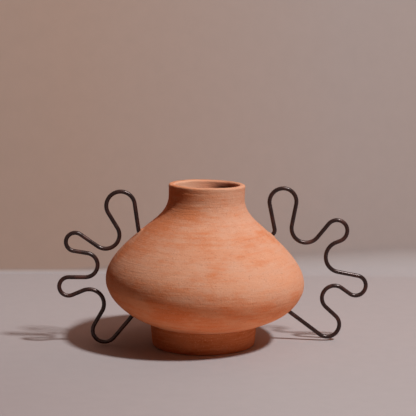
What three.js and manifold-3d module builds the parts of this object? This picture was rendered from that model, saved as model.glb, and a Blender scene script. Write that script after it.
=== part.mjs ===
// A thrown terracotta vase: a wide, pulled-in belly on a straight foot, a short neck, and two
// handles bent from round iron wire. Each handle is one wire. It leaves the shoulder, swings
// out in lobes and comes back to the underside, and both of its ends pass through holes in
// the clay wall and are bedded in setting paste inside.
//
// Lengths are millimetres and angles are degrees. Heights (z) start at the table, and radii
// start at the pot's own axis.

import * as THREE from 'three';
import { mergeVertices } from 'three/addons/utils/BufferGeometryUtils.js';
import Module from 'manifold-3d';

const wasm = await Module();
wasm.setup();

// Foot: a thrown ring, joined under the body
const FOOT_HEIGHT = 22.5;
const FOOT_TREAD_RADIUS = 53.2;
const FOOT_TOP_RADIUS = 55.2;
const FOOT_WALL = 10;
const FOOT_EDGE_ROUND = 1.5;

// Body: stacked stretches of the outline, each with its rise above the one before
const BELLY_RISE = 45;
const BELLY_RADIUS = 102.5;
const SHOULDER_RISE = 52.5;
const SHOULDER_RADIUS = 63.5;
const NECK_RISE = 35;
const COLLAR_RADIUS = 39;
const COLLAR_LENGTH = 12;
const WALL = 6;
const FLOOR = 8;

// Fullness of the outline: slopes from the horizontal, and how far each curve holds on to them
const UNDERSIDE_SLOPE = 21;
const UNDERSIDE_REACH = 29;
const BELLY_REACH_BELOW = 22;
const BELLY_REACH_ABOVE = 18.5;
const SHOULDER_SLOPE = 42;
const SHOULDER_REACH = 23;
const NECK_REACH = 14;
const COLLAR_REACH = 17;

// Wire handles
const WIRE_RADIUS = 2.15;
const ENTRY_BEND_RADIUS = 5.5;
const ENTRY_STANDOFF = 1;
const WIRE_TAIL = 9;

// Setting paste round each wire end, on the inside of the wall
const SETTING_RADIUS = 8;
const SETTING_HEIGHT = 6;

// Gap between any two pieces that seat on or pass through each other
const CLEARANCE = 0.3;

// Smoothness of the facets
const BODY_SEGMENTS = 64;
const CURVE_STEPS = 8;
const LIP_STEPS = 6;
const FOOT_EDGE_STEPS = 3;
const WIRE_SIDES = 10;
const BEND_STEP = 15;
const HOLE_SIDES = 16;
const SETTING_SEGMENTS = 16;
const SETTING_STEPS = 3;

// Heights that follow from the stacked stretches
const BELLY_HEIGHT = FOOT_HEIGHT + BELLY_RISE;
const SHOULDER_HEIGHT = BELLY_HEIGHT + SHOULDER_RISE;
const COLLAR_HEIGHT = SHOULDER_HEIGHT + NECK_RISE;
const RIM_HEIGHT = COLLAR_HEIGHT + COLLAR_LENGTH;
const HOLE_RADIUS = WIRE_RADIUS + CLEARANCE;

// Bends of each wire, in order from the shoulder to the underside. out is measured outward
// from the belly's widest line and z from the table, both to the centre of the bend. radius
// is the wire's centreline. Each bend turns the wire the other way from the bend before.
const LEFT_HANDLE = {
  name: 'left_handle',
  direction: 180,
  holeBelowShoulder: 3,
  holeAboveFoot: 9,
  bends: [
    { out: -15.4, z: 146.2, radius: 14.6 },
    { out: 0.2, z: 115.9, radius: 14.2 },
    { out: 31.4, z: 109.3, radius: 9.5 },
    { out: 21.4, z: 84.9, radius: 12.7 },
    { out: 38.7, z: 62.9, radius: 9.7 },
    { out: 18.2, z: 43.9, radius: 15.6 },
    { out: 2.2, z: 16, radius: 12.4 },
  ],
};
const RIGHT_HANDLE = {
  name: 'right_handle',
  direction: 0,
  holeBelowShoulder: 6,
  holeAboveFoot: 13.5,
  bends: [
    { out: -21.8, z: 148.1, radius: 14 },
    { out: 2.9, z: 120.3, radius: 15.5 },
    { out: 34.7, z: 116.7, radius: 11.3 },
    { out: 39.9, z: 89.2, radius: 16.3 },
    { out: 55.8, z: 58.2, radius: 10.6 },
    { out: 33.1, z: 45.6, radius: 13 },
    { out: 26, z: 16.9, radius: 12.8 },
  ],
};

function clayMaterial() {
  return new THREE.MeshStandardMaterial({ color: '#c27b57', roughness: 0.92, metalness: 0 });
}

function wireMaterial() {
  return new THREE.MeshStandardMaterial({ color: '#2c201d', roughness: 0.45, metalness: 0.7 });
}

function pasteMaterial() {
  return new THREE.MeshStandardMaterial({ color: '#8d7f74', roughness: 0.95, metalness: 0 });
}

// Direction in the outline's plane, at an angle above the horizontal
function heading(angle) {
  const radians = THREE.MathUtils.degToRad(angle);
  return new THREE.Vector2(Math.cos(radians), Math.sin(radians));
}

function leftOf(direction) {
  return new THREE.Vector2(-direction.y, direction.x);
}

function along(start, direction, distance) {
  return start.clone().addScaledVector(direction, distance);
}

// Outside of the clay from the foot's crease to the rim, as radius and height
function outsidePath() {
  const crease = new THREE.Vector2(FOOT_TOP_RADIUS, FOOT_HEIGHT);
  const shoulder = new THREE.Vector2(SHOULDER_RADIUS, SHOULDER_HEIGHT);
  const upShoulder = heading(180 - SHOULDER_SLOPE);
  const leaveCrease = along(crease, heading(UNDERSIDE_SLOPE), UNDERSIDE_REACH);
  const meetShoulder = along(shoulder, upShoulder, -SHOULDER_REACH);
  const leaveShoulder = along(shoulder, upShoulder, NECK_REACH);
  const path = new THREE.Path([crease]);
  path.bezierCurveTo(
    leaveCrease.x, leaveCrease.y,
    BELLY_RADIUS, BELLY_HEIGHT - BELLY_REACH_BELOW,
    BELLY_RADIUS, BELLY_HEIGHT,
  );
  path.bezierCurveTo(
    BELLY_RADIUS, BELLY_HEIGHT + BELLY_REACH_ABOVE,
    meetShoulder.x, meetShoulder.y,
    shoulder.x, shoulder.y,
  );
  path.bezierCurveTo(
    leaveShoulder.x, leaveShoulder.y,
    COLLAR_RADIUS, COLLAR_HEIGHT - COLLAR_REACH,
    COLLAR_RADIUS, COLLAR_HEIGHT,
  );
  return path;
}

const outside = outsidePath().getPoints(CURVE_STEPS);

// Direction of an outline at one of its points, from its neighbours
function outlineDirection(points, index) {
  const before = points[Math.max(index - 1, 0)];
  const after = points[Math.min(index + 1, points.length - 1)];
  return after.clone().sub(before).normalize();
}

// Inside of the wall, upwards from the floor of the pot
function insideOutline() {
  const floorHeight = FOOT_HEIGHT + FLOOR;
  const offset = outside.map((point, index) =>
    along(point, leftOf(outlineDirection(outside, index)), WALL));
  const first = offset.findIndex((point) => point.y > floorHeight);
  const above = offset[first];
  const below = offset[first - 1];
  const share = (floorHeight - below.y) / (above.y - below.y);
  return [below.clone().lerp(above, share), ...offset.slice(first)];
}

const inside = insideOutline();

// Full round of the lip, from the outside of the collar over to its inside
function lip() {
  const lipRadius = WALL / 2;
  const arc = new THREE.Path();
  arc.absarc(COLLAR_RADIUS - lipRadius, RIM_HEIGHT - lipRadius, lipRadius, 0, Math.PI, false);
  return arc.getPoints(LIP_STEPS / 2);
}

function revolve(profile, segments) {
  return new THREE.LatheGeometry(profile, segments).rotateX(Math.PI / 2);
}

// The same with a flat, not a corner, towards each side, so no facet edge meets another's
function revolveOnFlats(profile, segments) {
  return revolve(profile, segments).rotateZ(Math.PI / segments);
}

// Closed solid of a geometry, with shared corners merged and slivers on the axis left out
function toSolid(geometry) {
  const bare = geometry.clone();
  bare.deleteAttribute('normal');
  bare.deleteAttribute('uv');
  const merged = mergeVertices(bare);
  const corners = merged.index.array;
  const triangles = [];
  for (let i = 0; i < corners.length; i += 3) {
    const [a, b, c] = corners.slice(i, i + 3);
    if (a !== b && b !== c && c !== a) {
      triangles.push(a, b, c);
    }
  }
  return new wasm.Manifold(new wasm.Mesh({
    numProp: 3,
    vertProperties: Float32Array.from(merged.attributes.position.array),
    triVerts: Uint32Array.from(triangles),
  }));
}

function toGeometry(solid) {
  const mesh = solid.getMesh();
  const geometry = new THREE.BufferGeometry();
  geometry.setAttribute('position', new THREE.BufferAttribute(mesh.vertProperties, mesh.numProp));
  geometry.setIndex(new THREE.BufferAttribute(mesh.triVerts, 1));
  const flat = geometry.toNonIndexed();
  flat.computeVertexNormals();
  return flat;
}

// Point on the outside of the clay at a height, with the direction square into the wall
function wallAt(height) {
  const upper = outside.findIndex((point) => point.y > height);
  const low = outside[upper - 1];
  const high = outside[upper];
  const share = (height - low.y) / (high.y - low.y);
  return {
    point: low.clone().lerp(high, share),
    inward: leftOf(high.clone().sub(low).normalize()),
  };
}

// Straight stretch of wire between two bends, as where it leaves one and meets the next.
// turn is 1 for a bend to the left, -1 for one to the right, and a bare end has radius 0.
function straightBetween(from, to) {
  const span = to.centre.clone().sub(from.centre);
  const length = span.length();
  const side = (to.radius * to.turn - from.radius * from.turn) / length;
  const forward = Math.sqrt(1 - side * side);
  const unit = span.divideScalar(length);
  const direction = unit.clone().multiplyScalar(forward).addScaledVector(leftOf(unit), -side);
  const left = leftOf(direction);
  return {
    direction,
    leave: along(from.centre, left, -from.radius * from.turn),
    meet: along(to.centre, left, -to.radius * to.turn),
  };
}

// Points of one bend, from where the wire meets it to where it leaves
function bendStations(bend, arriving, leaving) {
  const start = arriving.angle();
  const full = Math.PI * 2;
  const swing = ((leaving.angle() - start) * bend.turn + full) % full;
  const steps = Math.ceil(swing / THREE.MathUtils.degToRad(BEND_STEP));
  const stations = [];
  for (let i = 0; i <= steps; i += 1) {
    const angle = start + (bend.turn * swing * i) / steps;
    const direction = new THREE.Vector2(Math.cos(angle), Math.sin(angle));
    const point = along(bend.centre, leftOf(direction), -bend.radius * bend.turn);
    stations.push({ point, direction });
  }
  return stations;
}

// Where a wire passes through the wall: its point on the outside, its way in, and how much
// wall it goes through
function passage(wall, direction) {
  const depth = WALL / direction.dot(wall.inward);
  return { outer: wall.point, direction, depth };
}

// Whole route of one handle's wire in its own upright plane, with the two passages
function wireRoute(handle) {
  const shoulderWall = wallAt(SHOULDER_HEIGHT - handle.holeBelowShoulder);
  const footWall = wallAt(FOOT_HEIGHT + handle.holeAboveFoot);
  const upper = passage(shoulderWall, shoulderWall.inward);
  const outward = upper.direction.clone().negate();
  const bendStart = along(upper.outer, outward, ENTRY_STANDOFF);
  const entryBend = {
    centre: along(bendStart, leftOf(outward), ENTRY_BEND_RADIUS),
    radius: ENTRY_BEND_RADIUS,
    turn: 1,
  };
  const lobes = handle.bends.map((bend, index) => ({
    centre: new THREE.Vector2(BELLY_RADIUS + bend.out, bend.z),
    radius: bend.radius,
    turn: index % 2 === 0 ? -1 : 1,
  }));
  const upperEnd = along(upper.outer, upper.direction, upper.depth + WIRE_TAIL);
  const bends = [entryBend, ...lobes];
  const stops = [
    { centre: upperEnd, radius: 0, turn: 1 },
    ...bends,
    { centre: footWall.point, radius: 0, turn: 1 },
  ];
  const straights = stops.slice(1).map((stop, index) => straightBetween(stops[index], stop));
  const lastStraight = straights[straights.length - 1];
  const lower = passage(footWall, lastStraight.direction);
  const lowerEnd = along(lower.outer, lower.direction, lower.depth + WIRE_TAIL);
  const stations = [
    { point: upperEnd, direction: outward },
    ...bends.flatMap((bend, index) =>
      bendStations(bend, straights[index].direction, straights[index + 1].direction)),
    { point: lowerEnd, direction: lower.direction },
  ];
  return { stations, passages: { shoulder: upper, underside: lower } };
}

// Centreline with one ring of the wire at each station, close together only in the bends
class BentWire extends THREE.Curve {
  constructor(stations) {
    super();
    this.stations = stations;
  }

  getUtoTmapping(u) {
    return u;
  }

  getPoint(t, target = new THREE.Vector3()) {
    const place = t * (this.stations.length - 1);
    const index = Math.min(Math.floor(place), this.stations.length - 2);
    const { point } = this.stations[index];
    const next = this.stations[index + 1].point;
    const mixed = point.clone().lerp(next, place - index);
    return target.set(mixed.x, 0, mixed.y);
  }

  getTangent(t, target = new THREE.Vector3()) {
    const index = Math.round(t * (this.stations.length - 1));
    const { direction } = this.stations[index];
    return target.set(direction.x, 0, direction.y);
  }
}

function wireGeometry(stations) {
  const section = new THREE.Shape();
  section.absarc(0, 0, WIRE_RADIUS, 0, Math.PI * 2, false);
  return new THREE.ExtrudeGeometry(section, {
    curveSegments: WIRE_SIDES / 2,
    steps: stations.length - 1,
    extrudePath: new BentWire(stations),
  });
}

// Turns a shape made along its own upright axis so that it lies along a passage, with its
// base at a distance in from the outside of the wall
function layAlong(geometry, hole, distance) {
  const direction = new THREE.Vector3(hole.direction.x, 0, hole.direction.y);
  const base = along(hole.outer, hole.direction, distance);
  const turn = new THREE.Quaternion().setFromUnitVectors(new THREE.Vector3(0, 0, 1), direction);
  return geometry.applyQuaternion(turn).translate(base.x, 0, base.y);
}

// Drill for one wire hole, run well past the outside of the wall and the top of the setting
function holeDrill(hole) {
  const length = WALL + hole.depth + SETTING_HEIGHT + WALL;
  const profile = [
    new THREE.Vector2(0, 0),
    new THREE.Vector2(HOLE_RADIUS, 0),
    new THREE.Vector2(HOLE_RADIUS, length),
    new THREE.Vector2(0, length),
  ];
  return layAlong(revolveOnFlats(profile, HOLE_SIDES), hole, -WALL);
}

const sides = [LEFT_HANDLE, RIGHT_HANDLE].map((handle) => ({ handle, ...wireRoute(handle) }));

// Hollow of the pot as a solid, from the floor to just past the rim
function cavity() {
  const top = RIM_HEIGHT + WALL;
  const neck = COLLAR_RADIUS - WALL;
  const profile = [
    new THREE.Vector2(0, inside[0].y),
    ...inside,
    new THREE.Vector2(neck, top),
    new THREE.Vector2(0, top),
  ];
  return toSolid(revolve(profile, BODY_SEGMENTS));
}

const hollow = cavity();

function vesselBody() {
  const profile = [
    new THREE.Vector2(0, FOOT_HEIGHT),
    ...outside,
    ...lip(),
    ...inside.slice().reverse(),
    new THREE.Vector2(0, inside[0].y),
  ];
  let clay = toSolid(revolve(profile, BODY_SEGMENTS));
  for (const { handle, passages } of sides) {
    const turn = THREE.MathUtils.degToRad(handle.direction);
    for (const hole of Object.values(passages)) {
      clay = clay.subtract(toSolid(holeDrill(hole).rotateZ(turn)));
    }
  }
  return toGeometry(clay);
}

// Foot ring, open through the middle, with its top face square under the body
function footRing() {
  const top = FOOT_HEIGHT - CLEARANCE;
  const edge = new THREE.Path();
  edge.absarc(
    FOOT_TREAD_RADIUS - FOOT_EDGE_ROUND, FOOT_EDGE_ROUND,
    FOOT_EDGE_ROUND, -Math.PI / 2, 0, false,
  );
  const profile = [
    new THREE.Vector2(FOOT_TREAD_RADIUS - FOOT_WALL, 0),
    ...edge.getPoints(FOOT_EDGE_STEPS),
    new THREE.Vector2(FOOT_TOP_RADIUS, top),
    new THREE.Vector2(FOOT_TOP_RADIUS - FOOT_WALL, top),
    new THREE.Vector2(FOOT_TREAD_RADIUS - FOOT_WALL, 0),
  ];
  return toGeometry(toSolid(revolve(profile, BODY_SEGMENTS)));
}

// Rounded bead of paste on the inside of the wall, moulded to it, with the wire through it
function setting(hole) {
  const dome = new THREE.Path();
  dome.absellipse(0, 0, SETTING_RADIUS, SETTING_HEIGHT, 0, Math.PI / 2, false, 0);
  const sunk = -WALL / 2;
  const profile = [
    new THREE.Vector2(0, sunk),
    new THREE.Vector2(SETTING_RADIUS, sunk),
    ...dome.getPoints(SETTING_STEPS),
  ];
  const bead = toSolid(layAlong(revolveOnFlats(profile, SETTING_SEGMENTS), hole, hole.depth));
  const gap = hole.direction.clone().multiplyScalar(CLEARANCE);
  const room = hollow.translate([gap.x, 0, gap.y]);
  return toGeometry(bead.intersect(room).subtract(toSolid(holeDrill(hole))));
}

function piece(name, geometry, material) {
  const mesh = new THREE.Mesh(geometry, material);
  mesh.name = name;
  return mesh;
}

// One handle and its two settings, turned to the side that they are on
function handleGroup({ handle, stations, passages }) {
  const group = new THREE.Group();
  group.rotation.z = THREE.MathUtils.degToRad(handle.direction);
  group.add(piece(handle.name, wireGeometry(stations), wireMaterial()));
  for (const [place, hole] of Object.entries(passages)) {
    const name = `${handle.name.replace('handle', place)}_setting`;
    group.add(piece(name, setting(hole), pasteMaterial()));
  }
  return group;
}

const vessel = new THREE.Group();
vessel.add(piece('vessel_body', vesselBody(), clayMaterial()));
vessel.add(piece('foot_ring', footRing(), clayMaterial()));
for (const side of sides) {
  vessel.add(handleGroup(side));
}

// The handles reach out unequally, and the origin is the middle of the whole thing's length
vessel.updateMatrixWorld(true);
const reach = new THREE.Box3().setFromObject(vessel, true);
vessel.position.x = -(reach.min.x + reach.max.x) / 2;

export default vessel;
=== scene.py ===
"""A thrown terracotta vase with a bent-wire handle on each side, dressed for the studio.

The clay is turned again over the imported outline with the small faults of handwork: the body
leans a little on its foot, the walls are not quite round, and the throwing rings stay in the
surface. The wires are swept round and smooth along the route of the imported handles.
Lengths are millimetres up to the meshes, which are in metres.
"""

import math

import bmesh
import bpy
from mathutils import Matrix, Vector, noise


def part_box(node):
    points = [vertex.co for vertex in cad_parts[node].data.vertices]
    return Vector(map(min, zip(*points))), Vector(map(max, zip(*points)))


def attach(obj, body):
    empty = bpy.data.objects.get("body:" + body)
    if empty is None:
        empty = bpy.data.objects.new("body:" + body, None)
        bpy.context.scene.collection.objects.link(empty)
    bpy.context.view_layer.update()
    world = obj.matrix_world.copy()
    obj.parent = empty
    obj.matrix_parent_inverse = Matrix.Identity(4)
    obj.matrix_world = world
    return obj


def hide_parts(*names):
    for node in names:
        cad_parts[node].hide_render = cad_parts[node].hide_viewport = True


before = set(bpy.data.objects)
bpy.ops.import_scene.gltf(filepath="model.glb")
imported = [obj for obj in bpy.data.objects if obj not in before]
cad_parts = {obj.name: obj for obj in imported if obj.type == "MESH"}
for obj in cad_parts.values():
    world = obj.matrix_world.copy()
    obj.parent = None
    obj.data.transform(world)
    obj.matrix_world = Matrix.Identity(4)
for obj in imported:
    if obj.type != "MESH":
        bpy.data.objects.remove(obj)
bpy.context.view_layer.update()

MM = 0.001

# The pot's own axis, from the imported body's box
BODY_LOW, BODY_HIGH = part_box("vessel_body")
POT_X = (BODY_LOW[0] + BODY_HIGH[0]) / 2

# Outline of the clay, as in the part's source
FOOT_HEIGHT = 22.5
FOOT_TREAD_RADIUS = 53.2
FOOT_TOP_RADIUS = 55.2
FOOT_WALL = 10.0
BELLY_HEIGHT = 67.5
BELLY_RADIUS = 102.5
SHOULDER_HEIGHT = 120.0
SHOULDER_RADIUS = 63.5
COLLAR_HEIGHT = 155.0
COLLAR_RADIUS = 39.0
RIM_HEIGHT = 167.0
WALL = 6.0
FLOOR = 8.0
UNDERSIDE_SLOPE = 21.0
UNDERSIDE_REACH = 29.0
BELLY_REACH_BELOW = 22.0
BELLY_REACH_ABOVE = 18.5
SHOULDER_SLOPE = 42.0
SHOULDER_REACH = 23.0
NECK_REACH = 14.0
COLLAR_REACH = 17.0

# Wire handles, as in the part's source: (out from the belly, height, radius) of each bend
WIRE_RADIUS = 2.15
ENTRY_BEND_RADIUS = 5.5
ENTRY_STANDOFF = 1.0
WIRE_TAIL = 9.0
HANDLES = {
    "left_handle": {
        "side": -1,
        "shoulder_hole": SHOULDER_HEIGHT - 3.0,
        "underside_hole": FOOT_HEIGHT + 9.0,
        "bends": (
            (-15.4, 146.2, 14.6),
            (0.2, 115.9, 14.2),
            (31.4, 109.3, 9.5),
            (21.4, 84.9, 12.7),
            (38.7, 62.9, 9.7),
            (18.2, 43.9, 15.6),
            (2.2, 16.0, 12.4),
        ),
    },
    "right_handle": {
        "side": 1,
        "shoulder_hole": SHOULDER_HEIGHT - 6.0,
        "underside_hole": FOOT_HEIGHT + 13.5,
        "bends": (
            (-21.8, 148.1, 14.0),
            (2.9, 120.3, 15.5),
            (34.7, 116.7, 11.3),
            (39.9, 89.2, 16.3),
            (55.8, 58.2, 10.6),
            (33.1, 45.6, 13.0),
            (26.0, 16.9, 12.8),
        ),
    },
}

# Camera: where it stands from the pot's axis, what it looks along, and its field
CAMERA_PLACE = Vector((-130.2, -1521.0, 380.1))
CAMERA_TURN = 5.0
CAMERA_PITCH = 8.84
SENSOR_WIDTH = 36.0
FRAME_PIXELS = 416.0
FOCAL_PIXELS = 1500.0
NEAREST_SEEN = 0.05
FARTHEST_SEEN = 20.0


def heading(angle):
    radians = math.radians(angle)
    return Vector((math.cos(radians), math.sin(radians)))


def left_of(direction):
    return Vector((-direction.y, direction.x))


def bezier(start, leave, meet, end, steps):
    """Points of one curved stretch, without its first."""
    points = []
    for i in range(1, steps + 1):
        t = i / steps
        s = 1.0 - t
        points.append(
            start * s ** 3
            + leave * (3.0 * s * s * t)
            + meet * (3.0 * s * t * t)
            + end * t ** 3
        )
    return points


def quarter_turn(centre, radius, start, steps):
    """Points of a quarter turn about a centre, leftwards from an angle in degrees."""
    return [centre + heading(start + 90.0 * i / steps) * radius for i in range(steps + 1)]


def outside_outline(steps):
    """Outside of the clay from the foot's crease to the foot of the collar."""
    crease = Vector((FOOT_TOP_RADIUS, FOOT_HEIGHT))
    belly = Vector((BELLY_RADIUS, BELLY_HEIGHT))
    shoulder = Vector((SHOULDER_RADIUS, SHOULDER_HEIGHT))
    collar = Vector((COLLAR_RADIUS, COLLAR_HEIGHT))
    up_shoulder = heading(180.0 - SHOULDER_SLOPE)
    rise = Vector((0.0, 1.0))
    points = [crease]
    points += bezier(
        crease,
        crease + heading(UNDERSIDE_SLOPE) * UNDERSIDE_REACH,
        belly - rise * BELLY_REACH_BELOW,
        belly,
        steps,
    )
    points += bezier(
        belly,
        belly + rise * BELLY_REACH_ABOVE,
        shoulder - up_shoulder * SHOULDER_REACH,
        shoulder,
        steps,
    )
    points += bezier(
        shoulder,
        shoulder + up_shoulder * NECK_REACH,
        collar - rise * COLLAR_REACH,
        collar,
        steps,
    )
    return points


# Flattened lip: its two rounded edges, and the low band that it makes round the collar
LIP_OUTER_EDGE = 1.8
LIP_INNER_EDGE = 2.2
LIP_OUTER_STEPS = 6
LIP_INNER_STEPS = 8
LIP_FLARE = 0.25
LIP_BAND = 3.0
LIP_BAND_ROWS = 5


def lip():
    """Top of the wall, from the outside of the collar over both edges to the inside."""
    outer = Vector((COLLAR_RADIUS + LIP_FLARE - LIP_OUTER_EDGE, RIM_HEIGHT - LIP_OUTER_EDGE))
    inner = Vector((COLLAR_RADIUS - WALL + LIP_INNER_EDGE, RIM_HEIGHT - LIP_INNER_EDGE))
    over_outer = quarter_turn(outer, LIP_OUTER_EDGE, 0.0, LIP_OUTER_STEPS)
    return over_outer + quarter_turn(inner, LIP_INNER_EDGE, 90.0, LIP_INNER_STEPS)


def inside_outline(outside):
    """Inside of the wall, upwards from the floor of the pot."""
    offset = []
    for i, point in enumerate(outside):
        before = outside[max(i - 1, 0)]
        after = outside[min(i + 1, len(outside) - 1)]
        offset.append(point + left_of((after - before).normalized()) * WALL)
    return [point for point in offset if point.y > FOOT_HEIGHT + FLOOR]


def even_rows(points, spacing):
    """The same line with its points a fixed distance apart, ends kept."""
    lengths = [0.0]
    for a, b in zip(points, points[1:]):
        lengths.append(lengths[-1] + (b - a).length)
    count = max(round(lengths[-1] / spacing), 1)
    rows = []
    at = 0
    for i in range(count + 1):
        target = lengths[-1] * i / count
        while at < len(points) - 2 and lengths[at + 1] < target:
            at += 1
        span = lengths[at + 1] - lengths[at]
        rows.append(points[at].lerp(points[at + 1], (target - lengths[at]) / span))
    return rows


def smooth_step(value):
    value = min(max(value, 0.0), 1.0)
    return value * value * (3.0 - 2.0 * value)


# The pot leans to the right: none at the table, all of it from half way between the crease and
# the belly. Below its lean the clay stands a little to the left
LEAN = math.radians(1.2)
TILT = math.radians(2.1)
LEAN_FULL_HEIGHT = (FOOT_HEIGHT + BELLY_HEIGHT) / 2
CLAY_SHIFT = -1.2


def leaned(point):
    """Moves a point of the clay, in millimetres from the pot's axis, by the lean."""
    share = min(max(point.z / LEAN_FULL_HEIGHT, 0.0), 1.0)
    lift = LEAN_FULL_HEIGHT * (share ** 3 - share ** 4 / 2)
    lift += max(point.z - LEAN_FULL_HEIGHT, 0.0)
    return Vector((
        point.x + CLAY_SHIFT + lift * math.sin(LEAN),
        point.y,
        point.z - point.x * math.sin(TILT) * smooth_step(share),
    ))


# Middle of the leaning mouth across the stage, in metres
MOUTH_X = POT_X + leaned(Vector((0.0, 0.0, RIM_HEIGHT))).x * MM


# Throwing rings: how far apart and how deep they are, and how much they fade and wander
RING_PITCH = 5.2
RING_DEPTH = 0.035
RING_OVERTONE = 0.3
OVERTONE_LEAD = 0.8
RING_EVEN = 0.55
RING_FADING = 0.45
RING_WANDER = 0.35

# Swells and bands of the wall, and its ovalness
SWELL_DEPTH = 0.55
SWELL_SHARE = 0.6
BAND_SHARE = 0.4
OUT_OF_ROUND = 0.45
OVAL_TURN = 0.7

# How closely the unevenness varies round the pot, over what height, and from where in the noise
FADE_ROUND = 0.8
FADE_SPREAD = 11.0
WANDER_ROUND = 1.1
WANDER_SPREAD = 26.0
WANDER_START = Vector((4.0, 0.0, 0.0))
SWELL_ROUND = 1.3
SWELL_SPREAD = 30.0
SWELL_START = Vector((0.0, 7.0, 0.0))
BAND_ROUND = 0.3
BAND_SPREAD = 13.0

# The rim stands higher than the outline, mostly at one side, with dips and small nicks
RIM_REACH = 9.0
RIM_RISE = 0.7
RIM_SLANT = 0.6
RIM_HIGH_SIDE = math.radians(-45.0)
RIM_DIP = 0.5
DIP_ROUND = 1.4
DIP_START = Vector((0.0, 0.0, 5.0))
RIM_NICK = 0.3
NICK_ROUND = 4.5
NICK_START = Vector((0.0, 0.0, 8.0))

# Band trimmed off the underside: its heights and depth, and how softly it begins and ends
TRIM_TOP = 62.0
TRIM_DROP = 8.0
TRIM_DEPTH = 0.42
TRIM_FOOT = 33.0
TRIM_FADE = 14.0


def thrown_offset(turn, height, radius, roughness):
    """How far the surface stands out at one place: throwing rings, swells and ovalness."""
    around = Vector((math.cos(turn), math.sin(turn), 0.0))
    up = Vector((0.0, 0.0, height))
    fading = noise.noise(around * FADE_ROUND + up / FADE_SPREAD)
    strength = RING_EVEN + RING_FADING * fading
    wandering = noise.noise(around * WANDER_ROUND + up / WANDER_SPREAD + WANDER_START)
    phase = height / RING_PITCH + turn / math.tau + RING_WANDER * wandering
    ring = math.sin(math.tau * phase)
    ring += RING_OVERTONE * math.sin(2.0 * math.tau * phase + OVERTONE_LEAD)
    swell = noise.noise(around * SWELL_ROUND + up / SWELL_SPREAD + SWELL_START)
    band = noise.noise(around * BAND_ROUND + up / BAND_SPREAD)
    oval = math.cos(2.0 * turn - OVAL_TURN)
    fullness = min(radius / BELLY_RADIUS, 1.0)
    return (
        RING_DEPTH * roughness * strength * ring
        + SWELL_DEPTH * fullness * (SWELL_SHARE * swell + BAND_SHARE * band)
        + OUT_OF_ROUND * fullness * oval
    )


def turned_mesh(name, rows, place, segments, closed):
    """Mesh of a turned profile. place gives the point of a row at one turn round the axis.

    A closed profile makes a ring; the ends of any other are capped at the axis.
    """
    mesh = bpy.data.meshes.new(name)
    verts = []
    faces = []
    for row in rows:
        for j in range(segments):
            verts.append(place(row, math.tau * j / segments) * MM)
    count = len(rows)
    last = count if closed else count - 1
    for i in range(last):
        k = (i + 1) % count
        for j in range(segments):
            m = (j + 1) % segments
            faces.append((i * segments + j, i * segments + m, k * segments + m, k * segments + j))
    if not closed:
        for ring, flip in ((0, True), (count - 1, False)):
            centre = sum((verts[ring * segments + j] for j in range(segments)), Vector()) / segments
            verts.append(centre)
            top = len(verts) - 1
            for j in range(segments):
                m = (j + 1) % segments
                a, b = ring * segments + j, ring * segments + m
                faces.append((top, b, a) if flip else (top, a, b))
    mesh.from_pydata([tuple(v) for v in verts], [], faces)
    for polygon in mesh.polygons:
        polygon.use_smooth = True
    return mesh


def add_piece(name, mesh, node, material):
    """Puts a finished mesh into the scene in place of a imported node."""
    piece = bpy.data.objects.new(name, mesh)
    bpy.context.scene.collection.objects.link(piece)
    piece.data.materials.append(material)
    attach(piece, "root")
    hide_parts(node)


OUTLINE_STEPS = 60
OUTSIDE = outside_outline(OUTLINE_STEPS)


def wall_at(height):
    """Point on the outside of the clay at a height, with the direction square into it."""
    for low, high in zip(OUTSIDE, OUTSIDE[1:]):
        if high.y > height:
            share = (height - low.y) / (high.y - low.y)
            return low.lerp(high, share), left_of((high - low).normalized())


def straight_between(here, there):
    """Straight wire between two bends: its direction, where it leaves and where it meets."""
    (centre_a, radius_a, turn_a), (centre_b, radius_b, turn_b) = here, there
    span = centre_b - centre_a
    side = (radius_b * turn_b - radius_a * turn_a) / span.length
    unit = span.normalized()
    direction = unit * math.sqrt(1.0 - side * side) - left_of(unit) * side
    left = left_of(direction)
    return direction, centre_a - left * radius_a * turn_a, centre_b - left * radius_b * turn_b


# Closeness of the wire's rings, in its bends and on its straights
BEND_STEP = 5.0
STRAIGHT_STEP = 3.0


def bend_stations(bend, arriving, leaving):
    """Points round one bend, each with the direction of the wire there."""
    centre, radius, turn = bend
    start = math.atan2(arriving.y, arriving.x)
    swing = ((math.atan2(leaving.y, leaving.x) - start) * turn) % math.tau
    steps = math.ceil(math.degrees(swing) / BEND_STEP)
    stations = []
    for i in range(steps + 1):
        angle = start + turn * swing * i / steps
        direction = Vector((math.cos(angle), math.sin(angle)))
        stations.append((centre - left_of(direction) * radius * turn, direction))
    return stations


def with_straights(stations):
    """The same stations with more of them along each straight."""
    full = [stations[0]]
    for (a, _), (b, direction) in zip(stations, stations[1:]):
        count = max(round((b - a).length / STRAIGHT_STEP), 1)
        full += [(a.lerp(b, i / count), direction) for i in range(1, count)]
        full.append((b, direction))
    return full


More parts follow.
